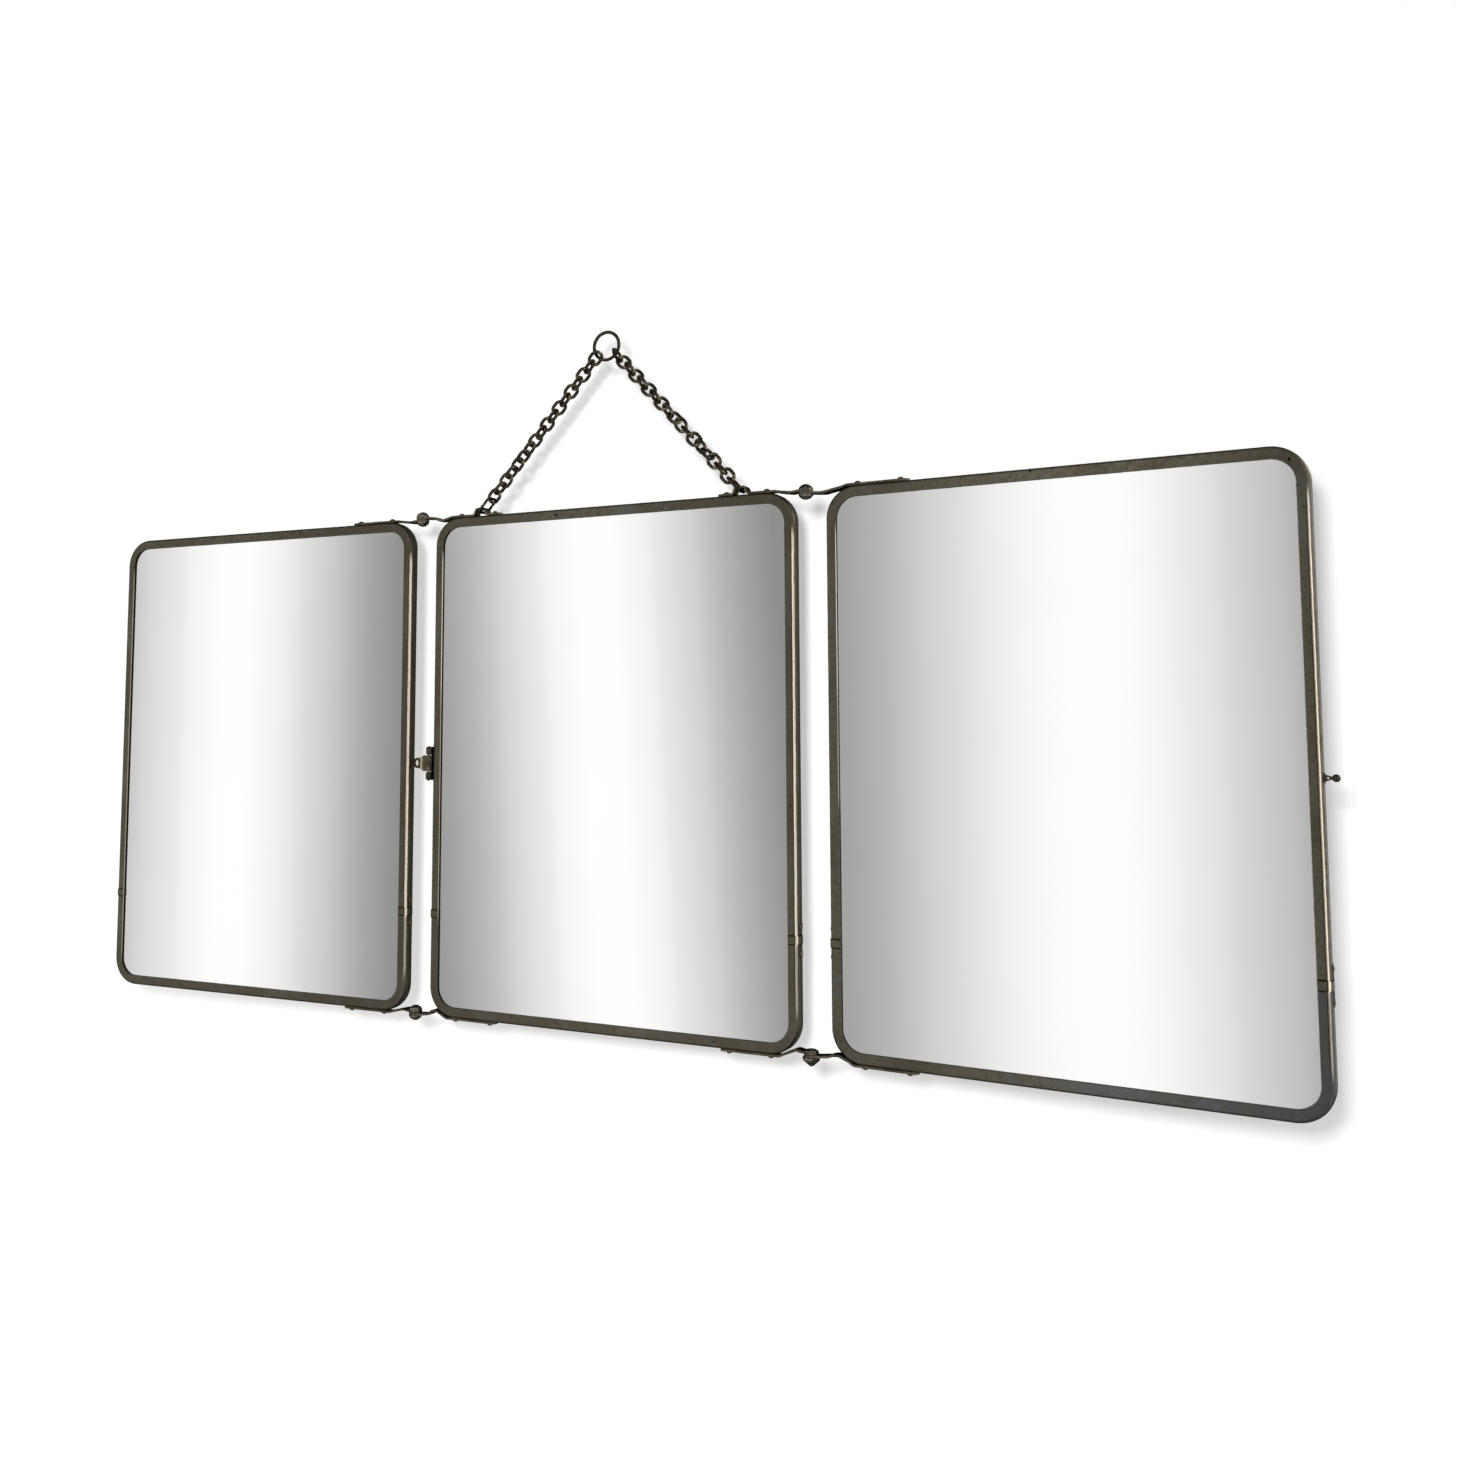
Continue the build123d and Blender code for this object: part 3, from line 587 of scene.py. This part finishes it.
def silveredGlass(name):
    # Old plate glass silvered on the back: a clean mirror, a trace cool, very slightly uneven,
    # with a dull rim where damp has crept under the silver
    material, tree, shader = startMaterial(name + "SilveredGlass")
    place = placeInMillimetres(tree, panelOrigin(name), pivots[name]["turn"])
    x, _, z = addNode(tree, "ShaderNodeSeparateXYZ", {0: place}).outputs
    inset = calc(tree, "SUBTRACT", insetFromEdge(tree, x, z), panel["flange"])
    middle = calc(tree, "SUBTRACT", inset, 0.25)
    creep = calc(tree, "MULTIPLY_ADD", noise(tree, place, 5, 4), 0.5, middle)
    rim = remap(tree, creep, 0.0, 0.45, 1.0, 0.0)
    silver = shades(tree, noise(tree, place, 60, 2), [(0.3, "#fdfdfd"), (0.7, "#fffffe")])
    colour = mixed(tree, product(tree, rim, 0.8), silver, linear("#6b675c"))
    rough = product(tree, rim, 0.25)
    wire(tree, shader, Base_Color=colour, Roughness=rough)
    wire(tree, shader, Normal=relief(tree, noise(tree, place, 90, 1), 0.004))
    return material


def edgeWear(tree, place, radius):
    # High where an edge is sharp, broken up by a fine noise
    rounded = addNode(tree, "ShaderNodeBevel", {"Radius": radius * millimetre}, samples=4).outputs[0]
    true = addNode(tree, "ShaderNodeNewGeometry").outputs["Normal"]
    along = addNode(tree, "ShaderNodeVectorMath", {0: rounded, 1: true}, operation="DOT_PRODUCT")
    sharp = remap(tree, along.outputs["Value"], 0.8, 0.98, 1.0, 0.0)
    return product(tree, sharp, remap(tree, noise(tree, place, 1.6, 3), 0.38, 0.62))


def darkBrass(name, hexDark, hexBrown, hexWorn, roughness, size, wearRadius=0.25):
    material, tree, shader = startMaterial(name)
    place = placeInMillimetres(tree)
    clouds = noise(tree, place, size, 4)
    speckle = noise(tree, place, size / 9, 3)
    colour = shades(tree, clouds, [(0.35, hexDark), (0.62, hexBrown)])
    colour = mixed(tree, remap(tree, speckle, 0.5, 0.75, 0.0, 0.5), colour, linear(hexDark))
    worn = edgeWear(tree, place, wearRadius)
    colour = mixed(tree, product(tree, worn, 0.6), colour, linear(hexWorn))
    rough = remap(tree, clouds, 0.3, 0.7, roughness, roughness + 0.14)
    wire(tree, shader, Base_Color=colour, Roughness=rough, Normal=relief(tree, speckle, 0.02))
    wire(tree, shader, Specular_Tint=linear("#5c554c"))  # the black skin mutes the grazing shine
    return material, tree, shader, colour


def blackenedBrass():
    # Cast and bent brass gone almost black, with warm brown thin spots and pale rubbed edges
    return darkBrass("blackenedBrass", "#3d3933", "#5f574b", "#bdb097", 0.28, 9)[0]


def strapBrass():
    # The hinge straps: the same tarnish worn thinner, a soft grey-brown with pale edges
    return darkBrass("tarnishedStrapBrass", "#544d43", "#786e5f", "#c4b79c", 0.3, 9)[0]


def turnedBrass():
    # Turned hinge balls: the same tarnish on a finer skin, with the lathe's rings catching light
    material, tree, shader, colour = darkBrass(
        "turnedBlackenedBrass", "#57534d", "#9d978d", "#c9bda4", 0.13, 5, 0.1
    )
    place = placeInMillimetres(tree)
    inputs = {"Vector": place, "Scale": 0.24, "Distortion": 0.6, "Detail": 1.0}
    rings = addNode(tree, "ShaderNodeTexWave", inputs, bands_direction="Z").outputs[1]
    colour = mixed(tree, remap(tree, rings, 0.05, 0.3, 0.7, 0.0), colour, linear("#221e1a"))
    wire(tree, shader, Base_Color=colour, Normal=relief(tree, rings, 0.12))
    return material


def chainWire():
    # Brass wire, black with tarnish, rubbed to pale brass where the links bear on each other
    material, tree, shader, colour = darkBrass(
        "tarnishedBrassWire", "#35302b", "#554d45", "#bdb09a", 0.22, 5, 0.2
    )
    place = placeInMillimetres(tree)
    wear = addNode(tree, "ShaderNodeAttribute", attribute_name="wear").outputs["Fac"]
    broken = remap(tree, noise(tree, place, 1.3, 2), 0.42, 0.6)
    colour = mixed(tree, product(tree, wear, broken, 0.5), colour, linear("#d9c8a0"))
    wire(tree, shader, Base_Color=colour)
    return material


def rubbedScrew():
    # Small slotted brass screws, rubbed bright in patches and dark between
    material, tree, shader = startMaterial("rubbedScrewBrass")
    place = placeInMillimetres(tree)
    patches = noise(tree, place, 1.8, 3)
    colour = shades(tree, patches, [(0.35, "#5d5340"), (0.55, "#a8987a"), (0.7, "#d9cba6")])
    rough = remap(tree, patches, 0.3, 0.7, 0.42, 0.24)
    wire(tree, shader, Base_Color=colour, Roughness=rough)
    wire(tree, shader, Normal=relief(tree, noise(tree, place, 0.3, 2), 0.02))
    return material


tongueBendHighlight = (-130.4, -128.0)  # mm, across the panels, where the bend's highlight is painted


def tongueBrass():
    # The hasp's tongue: dull brass with a painted yellow highlight across its bend
    material, tree, shader, colour = darkBrass(
        "tongueBrassBendHighlight", "#4b4338", "#7d7363", "#d8c9a0", 0.34, 6, 0.3
    )
    place = placeInMillimetres(tree)
    x, _, _ = addNode(tree, "ShaderNodeSeparateXYZ", {0: place}).outputs
    # painted highlight across the bend
    bendHighlight = product(tree, between(tree, x, *tongueBendHighlight, 0.7), 0.9)
    colour = mixed(tree, bendHighlight, colour, linear("#f3e6bd"))
    wire(tree, shader, Base_Color=colour)
    return material


def packingPaper():
    # Thin rag paper behind the glass, yellowed
    material, tree, shader = startMaterial("yellowedPackingPaper", 0.0)
    place = placeInMillimetres(tree)
    fibres = noise(tree, place, 1.2, 5)
    colour = shades(tree, noise(tree, place, 24, 3), [(0.3, "#a38a5e"), (0.7, "#bfa877")])
    colour = mixed(tree, remap(tree, fibres, 0.4, 0.7, 0.0, 0.3), colour, linear("#8a7248"))
    wire(tree, shader, Base_Color=colour, Roughness=0.9, Normal=relief(tree, fibres, 0.04))
    return material


def strawboard():
    # Brown strawboard backing: coarse chopped fibres, darker in damp stains
    material, tree, shader = startMaterial("brownStrawboard", 0.0)
    place = placeInMillimetres(tree)
    fibres = noise(tree, place, 1.6, 6, 0.65)
    stains = noise(tree, place, 55, 4)
    colour = shades(tree, stains, [(0.32, "#6f5433"), (0.5, "#8d6f47"), (0.68, "#a58a5c")])
    colour = mixed(tree, remap(tree, fibres, 0.35, 0.7, 0.0, 0.6), colour, linear("#5b4327"))
    rough = remap(tree, fibres, 0.3, 0.7, 0.78, 0.92)
    wire(tree, shader, Base_Color=colour, Roughness=rough, Normal=relief(tree, fibres, 0.12))
    return material


chainMetal = chainWire()
plates = {name: tarnishedNickel(name) for name in pivots}
mirrors = {name: silveredGlass(name) for name in pivots}
blackened = blackenedBrass()
finishes = [  # the first ending that fits a node's name gives its material
    (("_packing_sheet",), packingPaper()),
    (("_backing_board",), strawboard()),
    (("_strap", "_strap_rivets"), strapBrass()),
    (("_screws",), rubbedScrew()),
    (("_pivot_pin", "_pivot_nut"), turnedBrass()),
    (("hasp_tongue",), tongueBrass()),
    (("hanging_ring", "_chain_links", "_end_link"), chainMetal),
]


def materialFor(node):
    owner = node.split("_")[0]
    if node.endswith(("_frame", "_joint_clips")):
        return plates[owner]
    if node.endswith("_glass"):
        return mirrors[owner]
    for endings, material in finishes:
        if node.endswith(endings):
            return material
    return blackened


for name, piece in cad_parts.items():
    piece.data.materials.clear()
    piece.data.materials.append(materialFor(name))
print("materials set")


# Chain: two arms of bent wire links, every second one turned a quarter

chain = {  # mm and degrees
    "linkLength": 10.26,
    "linkWidth": 8.8,
    "wire": 2.0,
    "corner": 3.2,
    "butt": 0.12,  # the open gap between the ends of the bent wire
    "play": 0.05,
    "count": 18,
    "ringRadius": 8.35,  # to the middle of the ring's wire
    "ringWire": 2.0,
    "ringPlay": 0.5,
    "gripAngle": 40.0,  # below the horizontal, where the arms hang on the ring
    "archPlace": (87.3, -94.17),  # where they end, out from the middle and below the ring
    "layStart": 7,  # the link where the lay starts to turn
    "laySpan": 9,
    "arms": {"left": (-1, 34.0, 0.0), "right": (1, 34.0, 180.0)},  # side, lay at both ends
    "wearReach": 2.6,  # how far from its end a link is rubbed
}


def vectorNode(tree, operation, first, second=None, scale=None):
    inputs = {0: first}
    if second is not None:
        inputs[1] = second
    if scale is not None:
        inputs["Scale"] = scale
    return addNode(tree, "ShaderNodeVectorMath", inputs, operation=operation).outputs[0]


def newGroup(name, sockets):
    group = bpy.data.node_groups.new(name, "GeometryNodeTree")
    for label, kind in sockets:
        group.interface.new_socket(label, in_out="INPUT", socket_type="NodeSocket" + kind)
    group.interface.new_socket("Geometry", in_out="OUTPUT", socket_type="NodeSocketGeometry")
    return group, addNode(group, "NodeGroupInput").outputs, addNode(group, "NodeGroupOutput")


def linkGroup():
    # One link: an open path with rounded corners, its butt in the +y side
    group, sizes, result = newGroup(
        "bentWireLink",
        [("Half Length", "Float"), ("Half Width", "Float"), ("Half Butt", "Float"),
         ("Corner", "Float"), ("Wire Radius", "Float"), ("Wear Reach", "Float")],
    )
    half, side, butt = sizes["Half Length"], sizes["Half Width"], sizes["Half Butt"]
    corners = [(butt, 1, 1), (half, 1, 1), (half, 1, -1), (half, -1, -1), (half, -1, 1), (butt, -1, 1)]
    places = addNode(group, "GeometryNodeIndexSwitch", data_type="VECTOR")
    for _ in range(len(corners) - len(places.index_switch_items)):
        places.index_switch_items.new()
    group.links.new(addNode(group, "GeometryNodeInputIndex").outputs[0], places.inputs["Index"])
    for number, (reach, signX, signY) in enumerate(corners):
        x = calc(group, "MULTIPLY", reach, signX)
        y = calc(group, "MULTIPLY", side, signY)
        corner = addNode(group, "ShaderNodeCombineXYZ", {"X": x, "Y": y})
        group.links.new(corner.outputs[0], places.inputs[number + 1])
    path = addNode(group, "GeometryNodeCurvePrimitiveLine").outputs[0]
    inputs = {"Curve": path, "Count": len(corners)}
    path = addNode(group, "GeometryNodeResampleCurve", inputs).outputs[0]
    inputs = {"Geometry": path, "Position": places.outputs[0]}
    path = addNode(group, "GeometryNodeSetPosition", inputs).outputs[0]
    inputs = {"Curve": path, "Radius": sizes["Corner"], "Count": 7, "Limit Radius": True}
    path = addNode(group, "GeometryNodeFilletCurve", inputs, mode="POLY").outputs[0]
    here = addNode(group, "GeometryNodeInputPosition").outputs[0]
    x = calc(group, "ABSOLUTE", addNode(group, "ShaderNodeSeparateXYZ", {0: here}).outputs["X"])
    fromEnd = calc(group, "DIVIDE", calc(group, "SUBTRACT", half, x), sizes["Wear Reach"])
    wear = remap(group, fromEnd, 0.0, 1.0, 1.0, 0.0)
    inputs = {"Geometry": path, "Name": "wear", "Value": wear}
    path = addNode(group, "GeometryNodeStoreNamedAttribute", inputs, domain="POINT").outputs[0]
    inputs = {"Resolution": 16, "Radius": sizes["Wire Radius"]}
    profile = addNode(group, "GeometryNodeCurvePrimitiveCircle", inputs).outputs[0]
    inputs = {"Curve": path, "Profile Curve": profile, "Fill Caps": True}
    body = addNode(group, "GeometryNodeCurveToMesh", inputs).outputs[0]
    body = addNode(group, "GeometryNodeSetShadeSmooth", {"Geometry": body}).outputs[0]
    group.links.new(body, result.inputs[0])
    return group


def armGroup():
    # One arm: links set along a line, each a quarter turn on from the last, its lay easing over
    group, sizes, result = newGroup(
        "chainArm",
        [("Link", "Geometry"), ("Grip", "Vector"), ("Along", "Vector"), ("Across", "Vector"),
         ("First Step", "Float"), ("Pitch", "Float"), ("Count", "Int"), ("Lay Start", "Float"),
         ("Lay Span", "Float"), ("Lay First", "Float"), ("Lay Last", "Float")],
    )
    start = vectorNode(group, "SCALE", sizes["Along"], scale=sizes["First Step"])
    start = vectorNode(group, "ADD", sizes["Grip"], start)
    step = vectorNode(group, "SCALE", sizes["Along"], scale=sizes["Pitch"])
    inputs = {"Count": sizes["Count"], "Start Location": start, "Offset": step}
    spots = addNode(group, "GeometryNodeMeshLine", inputs).outputs[0]
    index = addNode(group, "GeometryNodeInputIndex").outputs[0]
    past = calc(group, "SUBTRACT", index, sizes["Lay Start"])
    share = remap(group, calc(group, "DIVIDE", past, sizes["Lay Span"]), 0.0, 1.0)
    lay = remap(group, share, 0.0, 1.0, sizes["Lay First"], sizes["Lay Last"])
    lay.node.interpolation_type = "LINEAR"
    roll = calc(group, "RADIANS", calc(group, "MULTIPLY_ADD", index, 90.0, lay))
    sideways = vectorNode(group, "SCALE", sizes["Across"], scale=calc(group, "COSINE", roll))
    wallward = addNode(group, "ShaderNodeCombineXYZ", {"Y": calc(group, "SINE", roll)}).outputs[0]
    facing = vectorNode(group, "ADD", sideways, wallward)
    inputs = {"Primary Axis": sizes["Along"], "Secondary Axis": facing}
    turn = addNode(group, "FunctionNodeAxesToRotation", inputs, primary_axis="X", secondary_axis="Z")
    inputs = {"Points": spots, "Instance": sizes["Link"], "Rotation": turn.outputs[0]}
    links = addNode(group, "GeometryNodeInstanceOnPoints", inputs).outputs[0]
    group.links.new(links, result.inputs[0])
    return group


def armDirection(side):
    grip = radians(chain["gripAngle"])
    start = Vector((side * chain["ringRadius"] * cos(grip), 0, -chain["ringRadius"] * sin(grip)))
    archX, archZ = chain["archPlace"]
    along = (Vector((side * archX, 0, archZ)) - start).normalized()
    return start, along, Vector((0, -side, 0)).cross(along)


def chainTree():
    group, sizes, result = newGroup(
        "hangingChain",
        [("Geometry", "Geometry"), ("Link Length", "Float"), ("Link Width", "Float"),
         ("Wire", "Float"), ("Corner", "Float"), ("Butt", "Float"), ("Play", "Float"),
         ("Ring Wire", "Float"), ("Ring Play", "Float"), ("Count", "Int"), ("Wear Reach", "Float"),
         ("Metal", "Material")],
    )

    def half(first, second):
        return calc(group, "MULTIPLY", calc(group, "SUBTRACT", first, second), 0.5)

    halfLength = half(sizes["Link Length"], sizes["Wire"])
    bearing = calc(group, "MULTIPLY", calc(group, "ADD", sizes["Wire"], sizes["Ring Wire"]), 0.5)
    first = calc(group, "SUBTRACT", calc(group, "SUBTRACT", halfLength, bearing), sizes["Ring Play"])
    pitch = calc(group, "SUBTRACT", calc(group, "MULTIPLY", halfLength, 2.0), sizes["Wire"])
    pitch = calc(group, "SUBTRACT", pitch, sizes["Play"])
    inputs = {
        "Half Length": halfLength,
        "Half Width": half(sizes["Link Width"], sizes["Wire"]),
        "Half Butt": calc(group, "MULTIPLY", sizes["Butt"], 0.5),
        "Corner": sizes["Corner"],
        "Wire Radius": calc(group, "MULTIPLY", sizes["Wire"], 0.5),
        "Wear Reach": sizes["Wear Reach"],
    }
    link = addNode(group, "GeometryNodeGroup", inputs, node_tree=linkGroup())
    arm = armGroup()
    both = addNode(group, "GeometryNodeJoinGeometry")
    for side, layFirst, layLast in chain["arms"].values():
        grip, along, across = armDirection(side)
        inputs = {
            "Link": link.outputs[0],
            "Grip": grip * millimetre,
            "Along": along,
            "Across": across,
            "First Step": first,
            "Pitch": pitch,
            "Count": sizes["Count"],
            "Lay Start": float(chain["layStart"]),
            "Lay Span": float(chain["laySpan"]),
            "Lay First": layFirst,
            "Lay Last": layLast,
        }
        oneArm = addNode(group, "GeometryNodeGroup", inputs, node_tree=arm)
        group.links.new(oneArm.outputs[0], both.inputs[0])
    solid = addNode(group, "GeometryNodeRealizeInstances", {0: both.outputs[0]}).outputs[0]
    inputs = {"Geometry": solid, "Material": sizes["Metal"]}
    finished = addNode(group, "GeometryNodeSetMaterial", inputs).outputs[0]
    group.links.new(finished, result.inputs[0])
    return group


def bake(name, group, values):
    # Runs a tree on an empty mesh and keeps the result as one plain mesh
    holder = bpy.data.objects.new(name, bpy.data.meshes.new(name))
    scene.collection.objects.link(holder)
    modifier = holder.modifiers.new("shape", "NODES")
    modifier.node_group = group
    for item in group.interface.items_tree:
        if item.item_type == "SOCKET" and item.in_out == "INPUT" and item.name in values:
            modifier[item.identifier] = values[item.name]
    bpy.context.view_layer.update()
    evaluated = holder.evaluated_get(bpy.context.evaluated_depsgraph_get())
    mesh = bpy.data.meshes.new_from_object(evaluated)
    holder.modifiers.remove(modifier)
    holder.data = mesh
    return holder


def makeChain():
    lengths = {
        "Link Length": "linkLength",
        "Link Width": "linkWidth",
        "Wire": "wire",
        "Corner": "corner",
        "Butt": "butt",
        "Play": "play",
        "Ring Wire": "ringWire",
        "Ring Play": "ringPlay",
        "Wear Reach": "wearReach",
    }
    values = {label: chain[key] * millimetre for label, key in lengths.items()}
    values.update({"Count": chain["count"], "Metal": chainMetal})
    links = bake("chainLinks", chainTree(), values)
    print("chain:", len(links.data.vertices), "points")
    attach(links, "chain")
    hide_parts("left_chain_links", "right_chain_links")


makeChain()
print("chain ready")
